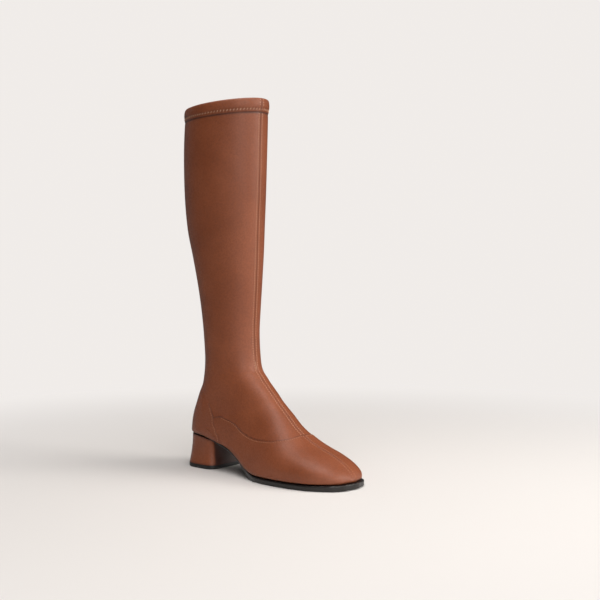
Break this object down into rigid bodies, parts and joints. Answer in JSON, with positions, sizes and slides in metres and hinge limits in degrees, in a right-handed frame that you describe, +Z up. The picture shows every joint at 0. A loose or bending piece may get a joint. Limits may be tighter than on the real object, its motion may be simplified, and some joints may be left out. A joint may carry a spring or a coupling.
{
  "type": "knee-high boot",
  "caption": "Knee-high smooth leather boot on a low flared block heel, with a rounded toe, a thin sole and a full-length inner side zip with a swinging pull tab.",
  "frame": {"origin": "on the floor, under the middle of the heel, on the flat underside of the heel's top lift", "axes": "+X to the toe, +Y to the inner side of the leg, which carries the zip, +Z up"},
  "size_m": [0.2461, 0.1022, 0.441],
  "materials": {
    "upper_leather": "smooth grained leather, soft sheen",
    "lining_leather": "matt lining leather",
    "sole_black": "dark burnished edge",
    "lift_rubber": "matt rubber",
    "tape_fabric": "woven tape",
    "zip_brass": "polished",
    "tab_leather": "smooth leather, painted edge"
  },
  "bodies": {
    "root": {"upper": "upper_leather", "insole": "lining_leather", "outsole": "sole_black", "heel": "upper_leather", "heel_top_lift": "lift_rubber", "zip_tape": "tape_fabric", "zip_teeth": "zip_brass", "zip_slider": "zip_brass"},
    "pull": {"zip_pull": "zip_brass", "zip_pull_tab": "tab_leather"}
  },
  "joints": [
    {"name": "pull_swing", "type": "hinge", "parent": "root", "child": "pull", "pos_m": [0.0433, 0.03151, 0.43351], "axis": [0.9881, -0.154, 0], "range_deg": [0, 150]}
  ]
}
